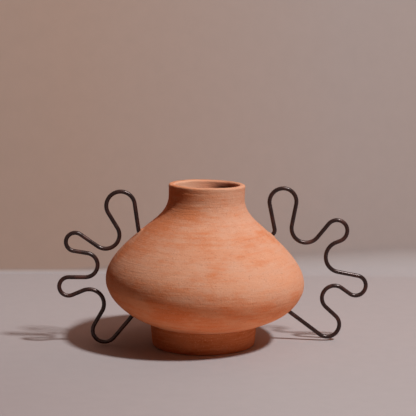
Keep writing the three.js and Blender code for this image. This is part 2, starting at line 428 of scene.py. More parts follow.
def wire_route(handle):
    """Stations of one wire, outward and upward from the pot's axis, with its two holes."""
    upper_point, inward = wall_at(handle["shoulder_hole"])
    lower_point, lower_inward = wall_at(handle["underside_hole"])
    outward = -inward
    entry_centre = (
        upper_point + outward * ENTRY_STANDOFF + left_of(outward) * ENTRY_BEND_RADIUS
    )
    bends = [(entry_centre, ENTRY_BEND_RADIUS, 1)]
    for index, (out, height, radius) in enumerate(handle["bends"]):
        turn = -1 if index % 2 == 0 else 1
        bends.append((Vector((BELLY_RADIUS + out, height)), radius, turn))
    upper_end = upper_point + inward * (WALL + WIRE_TAIL)
    stops = [(upper_end, 0.0, 1)] + bends + [(lower_point, 0.0, 1)]
    straights = [straight_between(a, b) for a, b in zip(stops, stops[1:])]
    lower_direction = straights[-1][0]
    lower_depth = WALL / lower_direction.dot(lower_inward)
    stations = [(upper_end, outward)]
    for index, bend in enumerate(bends):
        stations += bend_stations(bend, straights[index][0], straights[index + 1][0])
    stations.append((lower_point + lower_direction * (lower_depth + WIRE_TAIL), lower_direction))
    holes = {
        "shoulder": (upper_point, inward, WALL),
        "underside": (lower_point, lower_direction, lower_depth),
    }
    return with_straights(stations), holes


ROUTES = {name: wire_route(handle) for name, handle in HANDLES.items()}


def hole_lines():
    """Each wire hole in the clay: its middle on the outside and its direction inwards."""
    lines = []
    for name, (_, holes) in ROUTES.items():
        side = HANDLES[name]["side"]
        for point, direction, _ in holes.values():
            lines.append((
                Vector((side * point.x, 0.0, point.y)),
                Vector((side * direction.x, 0.0, direction.y)),
            ))
    return lines


HOLE_LINES = hole_lines()

# Clay pushed up round each wire when the hole was closed on it
SWELL_HEIGHT = 0.9
SWELL_WIDTH = 2.4
SWELL_REACH = 9.0

# Nub of clay left beside the left wire's upper hole: where on the outside, and its size
NUB_TURN = math.pi + 0.012
NUB_LEVEL = 118.0
NUB_RADIUS = 1.3
NUB_HEIGHT = 1.7


def swell_at_wires(point):
    """How far the clay stands up near a wire hole."""
    rise = 0.0
    for middle, direction in HOLE_LINES:
        away = point - middle
        if away.length < SWELL_REACH:
            from_wire = (away - direction * away.dot(direction)).length
            past = max(from_wire - WIRE_RADIUS, 0.0) / SWELL_WIDTH
            rise += SWELL_HEIGHT * math.exp(-past * past)
    return rise


def nub(turn, radius, level):
    """How far the nub of clay stands up at one place of the outside."""
    aside = radius * (turn - NUB_TURN)
    along = (level - NUB_LEVEL) / math.sin(math.radians(SHOULDER_SLOPE))
    return NUB_HEIGHT * math.exp(-(aside * aside + along * along) / NUB_RADIUS ** 2)


# Closeness of the clay's rows and of its points round the axis, and where its caps begin
ROW_SPACING = 0.8
INSIDE_SPACING = 1.8
FLAT_SPACING = 4.0
CLAY_SEGMENTS = 384
CAP_RADIUS = 1.0

# How strongly each stretch of the body is ringed, against its outside
UNDER_FLOOR_RINGS = 0.3
COLLAR_RINGS = 0.8
INSIDE_RINGS = 2.4
FLOOR_RINGS = 0.6


def profile_rows(stretches):
    """Rows of a turned profile, each with its outward normal and how strongly it is ringed.

    A stretch is its points, their spacing (none: as they are), the side that its surface is
    on and its rings. One with no side moves straight out from the axis, as the lip does.
    """
    rows = []
    for points, spacing, side, rings in stretches:
        line = even_rows(points, spacing) if spacing else points
        for i, point in enumerate(line):
            if i == 0 and rows and (rows[-1][0] - point).length < 1e-6:
                continue
            before, after = line[max(i - 1, 0)], line[min(i + 1, len(line) - 1)]
            normal = -left_of((after - before).normalized()) * side
            rows.append((point, normal if side else Vector((1.0, 0.0)), rings))
    return rows


def body_place(row, turn):
    """Point of the thrown body at one row and turn, with its faults and its lean."""
    point, normal, rings = row
    near_rim = smooth_step((point.y - (RIM_HEIGHT - RIM_REACH)) / RIM_REACH)
    offset = thrown_offset(turn, point.y, point.x, rings * (1.0 - near_rim))
    if normal.x > 0.0:
        trimmed = smooth_step((TRIM_TOP - point.y) / TRIM_DROP)
        offset -= TRIM_DEPTH * trimmed * smooth_step((point.y - TRIM_FOOT) / TRIM_FADE)
    radius = point.x + normal.x * offset
    height = point.y + normal.y * offset
    around = Vector((math.cos(turn), math.sin(turn), 0.0))
    dip = noise.noise(around * DIP_ROUND + DIP_START)
    nick = noise.noise(around * NICK_ROUND + NICK_START)
    slant = RIM_SLANT * math.cos(turn - RIM_HIGH_SIDE)
    height += near_rim * (RIM_RISE + slant + RIM_DIP * dip + RIM_NICK * nick)
    spot = leaned(Vector((radius * math.cos(turn), radius * math.sin(turn), height)))
    if normal.x >= 0.0 or normal.y < 0.0:
        rise = swell_at_wires(spot)
        if normal.x > 0.0:
            rise += nub(turn, point.x, point.y)
        spot += Vector((normal.x * math.cos(turn), normal.x * math.sin(turn), normal.y)) * rise
    spot.x += POT_X / MM
    return spot


def body_mesh():
    """Thrown body: one wall from under the floor, over the lip and down to the floor inside."""
    crease = Vector((FOOT_TOP_RADIUS, FOOT_HEIGHT))
    collar = Vector((COLLAR_RADIUS, COLLAR_HEIGHT))
    under_band = RIM_HEIGHT - LIP_OUTER_EDGE - LIP_BAND
    band = [Vector((COLLAR_RADIUS, under_band))]
    for i in range(1, LIP_BAND_ROWS + 1):
        share = i / LIP_BAND_ROWS
        out = COLLAR_RADIUS + LIP_FLARE * smooth_step(share)
        band.append(Vector((out, under_band + LIP_BAND * share)))
    inside = inside_outline(OUTSIDE)
    floor_edge = Vector((inside[0].x, FOOT_HEIGHT + FLOOR))
    inner_top = Vector((COLLAR_RADIUS - WALL, RIM_HEIGHT - LIP_INNER_EDGE))
    rows = profile_rows([
        ([Vector((CAP_RADIUS, FOOT_HEIGHT)), crease], FLAT_SPACING, 1, UNDER_FLOOR_RINGS),
        (OUTSIDE, ROW_SPACING, 1, 1.0),
        ([collar, band[0]], ROW_SPACING, 1, COLLAR_RINGS),
        (band, None, 1, 0.0),
        (lip(), None, 0, 0.0),
        ([inner_top] + inside[::-1], INSIDE_SPACING, -1, INSIDE_RINGS),
        ([floor_edge, Vector((CAP_RADIUS, floor_edge.y))], FLAT_SPACING, 1, FLOOR_RINGS),
    ])
    return turned_mesh("thrown_body", rows, body_place, CLAY_SEGMENTS, False)


# Foot ring: its rounded edges and bevel, and the fillet of slip where it meets the body
FOOT_EDGE_ROUND = 1.6
FOOT_EDGE_STEPS = 5
FOOT_TOP_BEVEL = 2.0
FILLET = 0.7
FILLET_HEIGHT = 2.4
FILLET_START = 0.2
FOOT_OVERLAP = 0.4
FOOT_SHIFT = -0.7
FLAT_TREAD = 3.0
FOOT_RING_OFFSET = 9.0

# How strongly the foot's outside, fillet and bore are ringed
FOOT_RINGS = 0.9
FILLET_RINGS = 0.3
BORE_RINGS = 0.8

# Closeness of the rows on the foot's tread, top and bore
TREAD_SPACING = 1.5
FOOT_TOP_SPACING = 2.5
BORE_SPACING = 1.2


def foot_place(row, turn):
    """Point of the foot ring: flat on the table, uneven only on its sides."""
    point, normal, rings = row
    share = smooth_step(point.y / FLAT_TREAD)
    offset = share * thrown_offset(turn, point.y - FOOT_RING_OFFSET, point.x, rings)
    radius = point.x + normal.x * offset
    spot = leaned(Vector((radius * math.cos(turn), radius * math.sin(turn), point.y)))
    spot.x += POT_X / MM + FOOT_SHIFT
    return spot


def foot_mesh():
    """Foot ring, from its tread round the outside and the top to the bore."""
    outer = Vector((FOOT_TREAD_RADIUS - FOOT_EDGE_ROUND, FOOT_EDGE_ROUND))
    outer_edge = quarter_turn(outer, FOOT_EDGE_ROUND, -90.0, FOOT_EDGE_STEPS)
    bore = FOOT_TREAD_RADIUS - FOOT_WALL
    inner = Vector((bore + FOOT_EDGE_ROUND, FOOT_EDGE_ROUND))
    inner_edge = quarter_turn(inner, FOOT_EDGE_ROUND, 180.0, FOOT_EDGE_STEPS)
    top = FOOT_HEIGHT + FOOT_OVERLAP
    waist = Vector((FOOT_TOP_RADIUS - FILLET_START, top - FILLET_HEIGHT))
    outer_top = Vector((FOOT_TOP_RADIUS + FILLET, top))
    inner_top = Vector((bore + FOOT_TOP_BEVEL, top))
    rows = profile_rows([
        ([inner_edge[-1], outer_edge[0]], TREAD_SPACING, 1, 0.0),
        (outer_edge, None, 1, 0.0),
        ([outer_edge[-1], waist], ROW_SPACING, 1, FOOT_RINGS),
        ([waist, outer_top], ROW_SPACING, 1, FILLET_RINGS),
        ([outer_top, inner_top], FOOT_TOP_SPACING, 1, 0.0),
        ([inner_top, inner_edge[0]], BORE_SPACING, 1, BORE_RINGS),
        (inner_edge, None, 1, 0.0),
    ])
    return turned_mesh("thrown_foot", rows[:-1], foot_place, CLAY_SEGMENTS, True)


# Wire: its sides, how far it wavers and over what length, its dents and its bevelled ends
WIRE_SIDES = 20
WIRE_WAVER = 0.35
WAVER_LENGTH = 38.0
WIRE_UNEVEN = 0.03
DENT_LENGTH = 9.0
SEATED_RINGS = 24.0
END_BEVEL = 0.5


def wire_mesh(name, stations, side, seed):
    """Round wire along a route, bent by hand so it wavers a little out of its plane."""
    mesh = bpy.data.meshes.new(name)
    rings = [(point, direction, 1.0, run) for run, (point, direction) in enumerate(stations)]
    first, last = rings[0], rings[-1]
    rings[0] = (first[0] + first[1] * END_BEVEL, first[1], 1.0, 0)
    rings[-1] = (last[0] - last[1] * END_BEVEL, last[1], 1.0, last[3])
    shrink = 1.0 - END_BEVEL / WIRE_RADIUS
    rings.insert(0, (first[0], first[1], shrink, 0))
    rings.append((last[0], last[1], shrink, last[3]))
    verts = []
    for point, direction, scale, run in rings:
        across = left_of(direction)
        seat = smooth_step(min(run, len(stations) - 1 - run) / SEATED_RINGS)
        along = point / WAVER_LENGTH
        sway = WIRE_WAVER * seat * noise.noise(Vector((along.x, along.y, seed)))
        for k in range(WIRE_SIDES):
            angle = math.tau * k / WIRE_SIDES
            spot = Vector((point.x / DENT_LENGTH, point.y / DENT_LENGTH, seed + angle))
            dent = noise.noise(spot)
            radius = WIRE_RADIUS * scale * (1.0 + WIRE_UNEVEN * seat * dent)
            flat = point + across * radius * math.cos(angle)
            verts.append((
                POT_X + side * flat.x * MM,
                (sway + radius * math.sin(angle)) * MM,
                flat.y * MM,
            ))
    faces = []
    for i in range(len(rings) - 1):
        for k in range(WIRE_SIDES):
            m = (k + 1) % WIRE_SIDES
            a, b = i * WIRE_SIDES, (i + 1) * WIRE_SIDES
            faces.append((a + k, a + m, b + m, b + k))
    faces.append(tuple(range(WIRE_SIDES)))
    faces.append(tuple((len(rings) - 1) * WIRE_SIDES + k for k in range(WIRE_SIDES)))
    mesh.from_pydata(verts, [], faces)
    settle_normals(mesh)
    return mesh


def settle_normals(mesh):
    """Turns every face of a closed mesh outwards and shades it smooth."""
    shell = bmesh.new()
    shell.from_mesh(mesh)
    bmesh.ops.recalc_face_normals(shell, faces=shell.faces)
    for face in shell.faces:
        face.smooth = len(face.verts) <= 4
    shell.to_mesh(mesh)
    shell.free()


# Beds of paste: their size, how far they sink into the wall and flare in and above it, and the
# share of the wire's radius at which their dome is closed
SETTING_RADIUS = 8.0
SETTING_HEIGHT = 6.0
SETTING_SINK = 1.5
SETTING_FLARE_IN = 0.6
SETTING_FLARE_ABOVE = 0.2
SETTING_CLOSE = 0.5
SETTING_ROWS = 12
SETTING_SEGMENTS = 48

# Lumps and thumb marks of the paste: how big, how closely they vary, and where they begin
PASTE_LUMP = 0.14
PASTE_LUMP_ROUND = 1.3
PASTE_LUMP_SPREAD = 5.0
PASTE_PRESS = 0.7
PASTE_PRESS_SPREAD = 3.0
PASTE_PRESS_RISE = 2.0

# Where in the noise the wire and the paste of each handle are taken, left and right
WIRE_SEEDS = (3.0, 8.0)
PASTE_SEEDS = (0.4, 1.4)


def setting_mesh(name, side, hole, seed):
    """Lump of paste pressed by thumb round the wire's inner end."""
    point, direction, depth = hole
    axis = Vector((side * direction.x, 0.0, direction.y))
    base = Vector((side * point.x, 0.0, point.y)) + axis * (depth - SETTING_SINK)
    across = Vector((0.0, 1.0, 0.0))
    beside = axis.cross(across)
    rows = [
        (SETTING_RADIUS + SETTING_FLARE_IN, 0.0),
        (SETTING_RADIUS + SETTING_FLARE_ABOVE, SETTING_SINK),
    ]
    for i in range(1, SETTING_ROWS):
        angle = math.radians(90.0 * i / SETTING_ROWS)
        rows.append((
            SETTING_RADIUS * math.cos(angle),
            SETTING_SINK + SETTING_HEIGHT * math.sin(angle),
        ))
    rows.append((WIRE_RADIUS * SETTING_CLOSE, SETTING_SINK + SETTING_HEIGHT))

    def place(row, turn):
        reach, height = row
        around = Vector((math.cos(turn), math.sin(turn), seed))
        up = Vector((0.0, 0.0, height))
        lump = noise.noise(around * PASTE_LUMP_ROUND + up / PASTE_LUMP_SPREAD)
        spread = reach / PASTE_PRESS_SPREAD
        press = noise.noise(Vector((around.x * spread, around.y * spread, seed)))
        reach *= 1.0 + PASTE_LUMP * lump
        pressed = smooth_step((height - SETTING_SINK) / PASTE_PRESS_RISE)
        height += PASTE_PRESS * press * pressed
        spot = base + across * reach * math.cos(turn) + beside * reach * math.sin(turn)
        spot += axis * height
        spot.x += POT_X / MM
        return spot

    mesh = turned_mesh(name, rows, place, SETTING_SEGMENTS, False)
    settle_normals(mesh)
    return mesh


class Wiring:
    """Short names for making and joining the nodes of a material, a group or the world."""

    def __init__(self, tree):
        self.tree = tree

    def feed(self, value, target):
        """Gives an input what another node puts out, or a plain value."""
        if isinstance(value, bpy.types.NodeSocket):
            self.tree.links.new(value, target)
        else:
            target.default_value = value

    def add(self, kind, values=None, **settings):
        made = self.tree.nodes.new(kind)
        for key, value in settings.items():
            setattr(made, key, value)
        for key, value in (values or {}).items():
            self.feed(value, made.inputs[key])
        return made

    def place(self):
        """Place on the object, in metres."""
        return self.add("ShaderNodeTexCoord").outputs["Object"]

    def parts(self, place):
        """How far across, deep and up a place is."""
        made = self.add("ShaderNodeSeparateXYZ", {"Vector": place})
        return made.outputs["X"], made.outputs["Y"], made.outputs["Z"]

    def vector(self, operation, a, b=(0.0, 0.0, 0.0)):
        made = self.add("ShaderNodeVectorMath", {0: a, 1: b}, operation=operation)
        return next(s for s in made.outputs if s.enabled)

    def grain(self, place, scale, detail, roughness, finer=None):
        """Noise at a scale per metre, and so many times finer across, deep and up."""
        if finer:
            place = self.vector("MULTIPLY", place, finer)
        made = self.add(
            "ShaderNodeTexNoise",
            {"Vector": place, "Scale": scale, "Detail": detail, "Roughness": roughness},
        )
        return made.outputs["Fac"]

    def levels(self, value, low, high, out_low=0.0, out_high=1.0):
        """Ramp of a value between two levels, held at both ends."""
        ends = {"From Min": low, "From Max": high, "To Min": out_low, "To Max": out_high}
        return self.add("ShaderNodeMapRange", {"Value": value, **ends}).outputs["Result"]

    def math(self, operation, a, b):
        return self.add("ShaderNodeMath", {0: a, 1: b}, operation=operation).outputs["Value"]

    def blend(self, share, under, over, mode="MIX"):
        made = self.add("ShaderNodeMix", data_type="RGBA", blend_type=mode)
        for name, value in (("Factor", share), ("A", under), ("B", over)):
            self.feed(value, next(s for s in made.inputs if s.name == name and s.enabled))
        return next(s for s in made.outputs if s.enabled)

    def seen(self):
        """One where the lens or a mirror-like reflection sees the surface, zero elsewhere."""
        rays = self.add("ShaderNodeLightPath").outputs
        return self.math("ADD", rays["Is Camera Ray"], rays["Is Glossy Ray"])

    def finish(self, output, share, under, over):
        """Gives the named output a mix of two shaders."""
        mixed = self.add("ShaderNodeMixShader", {"Fac": share, 1: under, 2: over})
        self.feed(mixed.outputs["Shader"], self.tree.nodes[output].inputs["Surface"])


def new_group(name, inputs, outputs):
    """Empty shader group with named inputs and outputs."""
    tree = bpy.data.node_groups.new(name, "ShaderNodeTree")
    for label, kind, value in inputs:
        socket = tree.interface.new_socket(label, in_out="INPUT", socket_type=kind)
        socket.default_value = value
    for label, kind in outputs:
        tree.interface.new_socket(label, in_out="OUTPUT", socket_type=kind)
    wiring = Wiring(tree)
    entry = wiring.add("NodeGroupInput")
    leave = wiring.add("NodeGroupOutput")
    return tree, wiring, entry, leave


# Grog: detail and roughness of its noise, and where its pale and dark grains begin
GROG_GRAIN = (2.0, 0.6)
PALE_GRAINS = (0.6, 0.74)
DARK_GRAINS = (0.4, 0.27)


def grog_group():
    """Fine grog: small pale and dark grains, and the tooth that they give the surface."""
    tree, w, entry, leave = new_group(
        "grog",
        [
            ("Color", "NodeSocketColor", (0.5, 0.5, 0.5, 1.0)),
            ("Pale Grain", "NodeSocketColor", (0.8, 0.7, 0.6, 1.0)),
            ("Dark Grain", "NodeSocketColor", (0.1, 0.05, 0.03, 1.0)),
            ("Amount", "NodeSocketFloat", 0.5),
            ("Grains per Metre", "NodeSocketFloat", 700.0),
        ],
        [("Color", "NodeSocketColor"), ("Height", "NodeSocketFloat")],
    )
    grain = w.grain(w.place(), entry.outputs["Grains per Metre"], *GROG_GRAIN)
    amount = entry.outputs["Amount"]
    pale = w.math("MULTIPLY", w.levels(grain, *PALE_GRAINS), amount)
    dark = w.math("MULTIPLY", w.levels(grain, *DARK_GRAINS), amount)
    paled = w.blend(pale, entry.outputs["Color"], entry.outputs["Pale Grain"])
    w.feed(w.blend(dark, paled, entry.outputs["Dark Grain"]), leave.inputs["Color"])
    w.feed(grain, leave.inputs["Height"])
    return tree


# Noise of the turned clay: scale per metre, detail, roughness, and how many times finer it is
# across, deep and up
STREAK_GRAIN = (1.0, 4.0, 0.65, (30.0, 30.0, 420.0))
LINE_GRAIN = (1.0, 2.0, 0.5, (22.0, 22.0, 1000.0))
PATCH_GRAIN = (22.0, 5.0, 0.65, (1.0, 1.0, 2.2))
BLOOM_GRAIN = (34.0, 5.0, 0.65, (1.0, 1.0, 2.2))
BLOTCH_GRAIN = (85.0, 3.0, 0.6, (1.0, 1.0, 2.4))
LUMP_GRAIN = (170.0, 4.0, 0.65, (1.0, 1.0, 1.8))

# Where in its noise each mark of the clay begins and is full
STREAK_EDGES = (0.42, 0.66)
PATCH_EDGES = (0.54, 0.76)
BLOOM_EDGES = (0.34, 0.56)
BLOTCH_EDGES = (0.45, 0.62)

# Streaks drawn into the patches and the bloom, and blotches where the clay is rougher
PATCH_STREAKS = 0.2
BLOOM_STREAKS = 0.3
BLOTCH_ROUGHER = 0.8
BLOTCH_AMOUNT = 0.22

# Roughness of the clay along its streaks, and the share of each grain in its relief
STREAK_ROUGHNESS = (0.3, 0.7, 0.86, 0.96)
STREAK_RELIEF = 0.25
LINE_RELIEF = 0.45
LUMP_RELIEF = 0.6

# Where the clay is made redder or paler, partly fired colour and partly painted shade and light:
# redder on the shaded left and paler on the lit right, on the body and more so on the neck, as
# painted shade and painted light; redder below the belly, where it is in shade, as painted shade,
# but paler at the far left; and paler towards the bottom. Two places in metres, and the shares
# added there
FIRE_AND_SHADING_ACROSS = (0.06, -0.08, -0.1, 0.04)
FIRE_AND_SHADING_LOW_HEIGHT = (0.078, 0.055, 0.0, 0.14)
FIRE_AND_SHADING_LOW_ACROSS = (-0.085, -0.04, -1.0, 1.0)
FIRE_AND_SHADING_NECK_HEIGHT = (0.12, 0.14)
FIRE_AND_SHADING_NECK_ACROSS = (0.03, -0.03, -0.26, 0.12)
PALE_LOW = (0.044, 0.036, 0.0, 0.1)

# Where the surface is rougher: up the neck, and down to the crease
ROUGH_NECK = (0.1, 0.145, 1.0, 3.0)
ROUGH_LOW = (0.052, 0.044, 0.0, 1.5)


def firing_and_shading(w, place):
    """How much redder the clay is made at one side, on the neck and low down, partly fired colour
    and partly painted shade and light, and how much paler it is towards the bottom.
    """
    across, _, up = w.parts(place)
    neck = w.levels(across, *FIRE_AND_SHADING_NECK_ACROSS)
    low = w.levels(across, *FIRE_AND_SHADING_LOW_ACROSS)
    return (
        w.levels(across, *FIRE_AND_SHADING_ACROSS),
        w.math("MULTIPLY", neck, w.levels(up, *FIRE_AND_SHADING_NECK_HEIGHT)),
        w.math("MULTIPLY", low, w.levels(up, *FIRE_AND_SHADING_LOW_HEIGHT)),
        w.levels(up, *PALE_LOW),
    )


def turned_clay_group():
    """Colour and relief of wheel-turned bisque: fire patches with painted shade and light, wiped
    streaks and fine lines.
    """
    tree, w, entry, leave = new_group(
        "turned_clay",
        [
            ("Light Clay", "NodeSocketColor", (0.6, 0.3, 0.2, 1.0)),
            ("Deep Clay", "NodeSocketColor", (0.5, 0.2, 0.1, 1.0)),
            ("Bloom", "NodeSocketColor", (0.7, 0.4, 0.3, 1.0)),
            ("Patch Amount", "NodeSocketFloat", 0.7),
            ("Streak Amount", "NodeSocketFloat", 0.5),
            ("Bloom Amount", "NodeSocketFloat", 0.4),
        ],
        [
            ("Color", "NodeSocketColor"),
            ("Roughness", "NodeSocketFloat"),
            ("Height", "NodeSocketFloat"),
        ],
    )
    place = w.place()
    streaks = w.grain(place, *STREAK_GRAIN)
    # Redder on the shaded left, below the belly and on the neck's left, paler on the lit right of
    # the neck: partly fired colour, partly painted shade and painted light
    fire_and_shading_side, fire_and_shading_neck, fire_and_shading_low, pale_low = firing_and_shading(w, place)
    fire_and_shading = w.math("ADD", w.math("ADD", fire_and_shading_side, fire_and_shading_neck), fire_and_shading_low)
    fire_and_shading = w.math("SUBTRACT", fire_and_shading, pale_low)
    patches = w.grain(place, *PATCH_GRAIN)
    brushed = w.math("ADD", patches, w.math("MULTIPLY", streaks, PATCH_STREAKS))
    patch = w.levels(w.math("ADD", brushed, fire_and_shading), *PATCH_EDGES)
    blooms = w.grain(place, *BLOOM_GRAIN)
    paled = w.math("SUBTRACT", blooms, w.math("MULTIPLY", streaks, BLOOM_STREAKS))
    paled = w.math("SUBTRACT", w.math("ADD", paled, pale_low), fire_and_shading_side)
    bloom = w.levels(w.math("SUBTRACT", paled, fire_and_shading_neck), *BLOOM_EDGES)
    fired_and_shaded = w.blend(
        w.math("MULTIPLY", patch, entry.outputs["Patch Amount"]),
        entry.outputs["Light Clay"],
        entry.outputs["Deep Clay"],
    )
    up = w.parts(place)[2]
    rougher = w.math("ADD", w.levels(up, *ROUGH_NECK), w.levels(up, *ROUGH_LOW))
    streak = w.levels(streaks, *STREAK_EDGES)
    streaked = w.math("MULTIPLY", streak, entry.outputs["Streak Amount"])
    streaked = w.math("MULTIPLY", streaked, rougher)
    wiped = w.blend(streaked, fired_and_shaded, entry.outputs["Deep Clay"])
    blotch = w.levels(w.grain(place, *BLOTCH_GRAIN), *BLOTCH_EDGES)
    blotch = w.math("MULTIPLY", blotch, w.math("SUBTRACT", rougher, BLOTCH_ROUGHER))
    blotch = w.math("MULTIPLY", blotch, BLOTCH_AMOUNT)
    blotched = w.blend(blotch, wiped, entry.outputs["Deep Clay"])
    bloomed = w.blend(
        w.math("MULTIPLY", bloom, entry.outputs["Bloom Amount"]),
        blotched,
        entry.outputs["Bloom"],
    )
    w.feed(bloomed, leave.inputs["Color"])
    w.feed(w.levels(streaks, *STREAK_ROUGHNESS), leave.inputs["Roughness"])
    combed = w.math("MULTIPLY", w.math("MULTIPLY", streaks, STREAK_RELIEF), rougher)
    lines = w.math("MULTIPLY", w.grain(place, *LINE_GRAIN), LINE_RELIEF)
    lumps = w.math("MULTIPLY", w.grain(place, *LUMP_GRAIN), LUMP_RELIEF)
    w.feed(w.math("ADD", w.math("ADD", combed, lines), lumps), leave.inputs["Height"])
    return tree


# Rubbed edge: scale per metre, detail and roughness of its patches, and where they begin
WEAR_GRAIN = (90.0, 3.0, 0.6)
WEAR_EDGES = (0.3, 0.6)


def rubbed_edge_group():
    """Colour of an edge that is rubbed in patches, more and more between two heights."""
    tree, w, entry, leave = new_group(
        "rubbed_edge",
        [
            ("Color", "NodeSocketColor", (0.6, 0.3, 0.2, 1.0)),
            ("Rubbed", "NodeSocketColor", (0.7, 0.4, 0.3, 1.0)),
            ("Amount", "NodeSocketFloat", 0.5),
            ("Begins at", "NodeSocketFloat", 0.0),
            ("Full at", "NodeSocketFloat", 1.0),
        ],
        [("Color", "NodeSocketColor")],
    )
    place = w.place()
    wear = w.levels(w.parts(place)[2], entry.outputs["Begins at"], entry.outputs["Full at"])
    patchy = w.levels(w.grain(place, *WEAR_GRAIN), *WEAR_EDGES)
    share = w.math("MULTIPLY", w.math("MULTIPLY", wear, patchy), entry.outputs["Amount"])
    rubbed = w.blend(share, entry.outputs["Color"], entry.outputs["Rubbed"])
    w.feed(rubbed, leave.inputs["Color"])
    return tree


def new_material(name):
    material = bpy.data.materials.new(name)
    material.use_nodes = True
    w = Wiring(material.node_tree)
    shader = material.node_tree.nodes["Principled BSDF"]
    return material, w, shader


def relief_on(w, shader, height, distance, strength):
    values = {"Height": height, "Distance": distance, "Strength": strength}
    w.feed(w.add("ShaderNodeBump", values).outputs["Normal"], shader.inputs["Normal"])


# Mouth: the radius and height between which its inside begins, where its dust is paler as painted
# light and deeper as painted shade, where it is stained, and where a painted shadow darkens it, all
# in metres from the middle of the mouth and up from the table
MOUTH_EDGE = (0.0348, 0.0334)
MOUTH_DEPTH = (0.13, 0.14)
DUST_LIGHT_TO_SHADE = (-0.02, 0.01)
DUST_AND_LIGHT_LEFT = (0.9, 0.55, 0.39, 1.0)
DUST_AND_SHADE_RIGHT = (0.95, 0.39, 0.23, 1.0)
DUST_AMOUNT = 0.7
FAR_LIP = (0.0, 0.02)
LIP_HEIGHT = (0.163, 0.1645, 0.0, 0.6)
LIP_STAIN = (0.34, 0.14, 0.07, 1.0)
# Painted shadow: the inside of the mouth darkened on its right, where the lip casts its shadow
PAINTED_SHADOW_ACROSS = (0.003, 0.018)
PAINTED_SHADOW_HEIGHT = (0.1655, 0.161)
PAINTED_SHADOW = (0.09, 0.03, 0.02, 1.0)
PAINTED_SHADOW_AMOUNT = 0.85


def mouth_stains_and_shadow(w, colour):
    """Pale dust inside the mouth, paler on the left as painted light and deeper on the right as
    painted shade, a stain on its far lip, and a painted shadow lower down on its right.
    """
    from_middle = w.vector("SUBTRACT", w.place(), (MOUTH_X, 0.0, 0.0))
    radius = w.vector("LENGTH", w.vector("MULTIPLY", from_middle, (1.0, 1.0, 0.0)))
    across, deep, up = w.parts(from_middle)
    within = w.math("MULTIPLY", w.levels(radius, *MOUTH_EDGE), w.levels(up, *MOUTH_DEPTH))
    # Dust paler on the left as painted light, deeper on the right as painted shade
    dust_and_shading = w.blend(w.levels(across, *DUST_LIGHT_TO_SHADE), DUST_AND_LIGHT_LEFT, DUST_AND_SHADE_RIGHT)
    dusty_and_shaded = w.blend(w.math("MULTIPLY", within, DUST_AMOUNT), colour, dust_and_shading)
    on_lip = w.levels(radius, *reversed(MOUTH_EDGE))
    far_lip = w.math("MULTIPLY", w.levels(deep, *FAR_LIP), on_lip)
    far_lip = w.math("MULTIPLY", far_lip, w.levels(up, *LIP_HEIGHT))
    stained = w.blend(far_lip, dusty_and_shaded, LIP_STAIN)
    # Painted shadow lower down on the right of the inside
    shadowed = w.math("MULTIPLY", w.levels(across, *PAINTED_SHADOW_ACROSS), w.levels(up, *PAINTED_SHADOW_HEIGHT))
    shadowed = w.math("MULTIPLY", shadowed, within)
    return w.blend(w.math("MULTIPLY", shadowed, PAINTED_SHADOW_AMOUNT), stained, PAINTED_SHADOW)


# Grit of both clays, and the colours and amounts of each clay's marks
CLAY_GRIT = {
    "Pale Grain": (0.8, 0.5, 0.34, 1.0),
    "Dark Grain": (0.3, 0.1, 0.05, 1.0),
    "Amount": 0.4,
    "Grains per Metre": 620.0,
}
BODY_CLAY = {
    "Light Clay": (0.7, 0.345, 0.215, 1.0),
    "Deep Clay": (0.64, 0.215, 0.093, 1.0),
    "Bloom": (0.65, 0.4, 0.295, 1.0),
    "Patch Amount": 0.9,
    "Streak Amount": 0.16,
    "Bloom Amount": 0.4,
}
# The foot's clay: the body's clay made darker and redder, as painted shade under the belly
FOOT_SHADED_CLAY = {
    "Light Clay": (0.54, 0.21, 0.1, 1.0),
    "Deep Clay": (0.46, 0.145, 0.055, 1.0),
    "Bloom": (0.6, 0.28, 0.16, 1.0),
    "Patch Amount": 0.75,
    "Streak Amount": 0.6,
    "Bloom Amount": 0.35,
}

# Rubbed edges: their colour, and the heights in metres where they begin and are full
RUBBED_LIP = {
    "Rubbed": (0.7, 0.375, 0.24, 1.0),
    "Amount": 0.55,
    "Begins at": 0.1625,
    "Full at": 0.1655,
}
RUBBED_TREAD = {**RUBBED_LIP, "Begins at": 0.0016, "Full at": 0.0002}

# Relief of the clay and its grit: depth in metres and strength, and the share of the grit
CLAY_RELIEF = (0.0006, 0.8)
GRIT_RELIEF = 0.5
CLAY_SHEEN = 0.06


def clay_material(name, groups, look, edge, stains_and_shade=None):
    """Unglazed clay, stained and painted with shade where that is given, and rubbed pale along its
    edge.
    """
    turned, grog, rubbed_edge = groups
    material, w, shader = new_material(name)
    clay = w.add("ShaderNodeGroup", look, node_tree=turned)
    grit = w.add("ShaderNodeGroup", CLAY_GRIT, node_tree=grog)
    w.feed(clay.outputs["Color"], grit.inputs["Color"])
    edged = w.add("ShaderNodeGroup", edge, node_tree=rubbed_edge)
    colour = grit.outputs["Color"]
    w.feed(stains_and_shade(w, colour) if stains_and_shade else colour, edged.inputs["Color"])
    w.feed(edged.outputs["Color"], shader.inputs["Base Color"])
    w.feed(clay.outputs["Roughness"], shader.inputs["Roughness"])
    gritty = w.math("MULTIPLY", grit.outputs["Height"], GRIT_RELIEF)
    relief_on(w, shader, w.math("ADD", clay.outputs["Height"], gritty), *CLAY_RELIEF)
    shader.inputs["Specular IOR Level"].default_value = CLAY_SHEEN
    return material


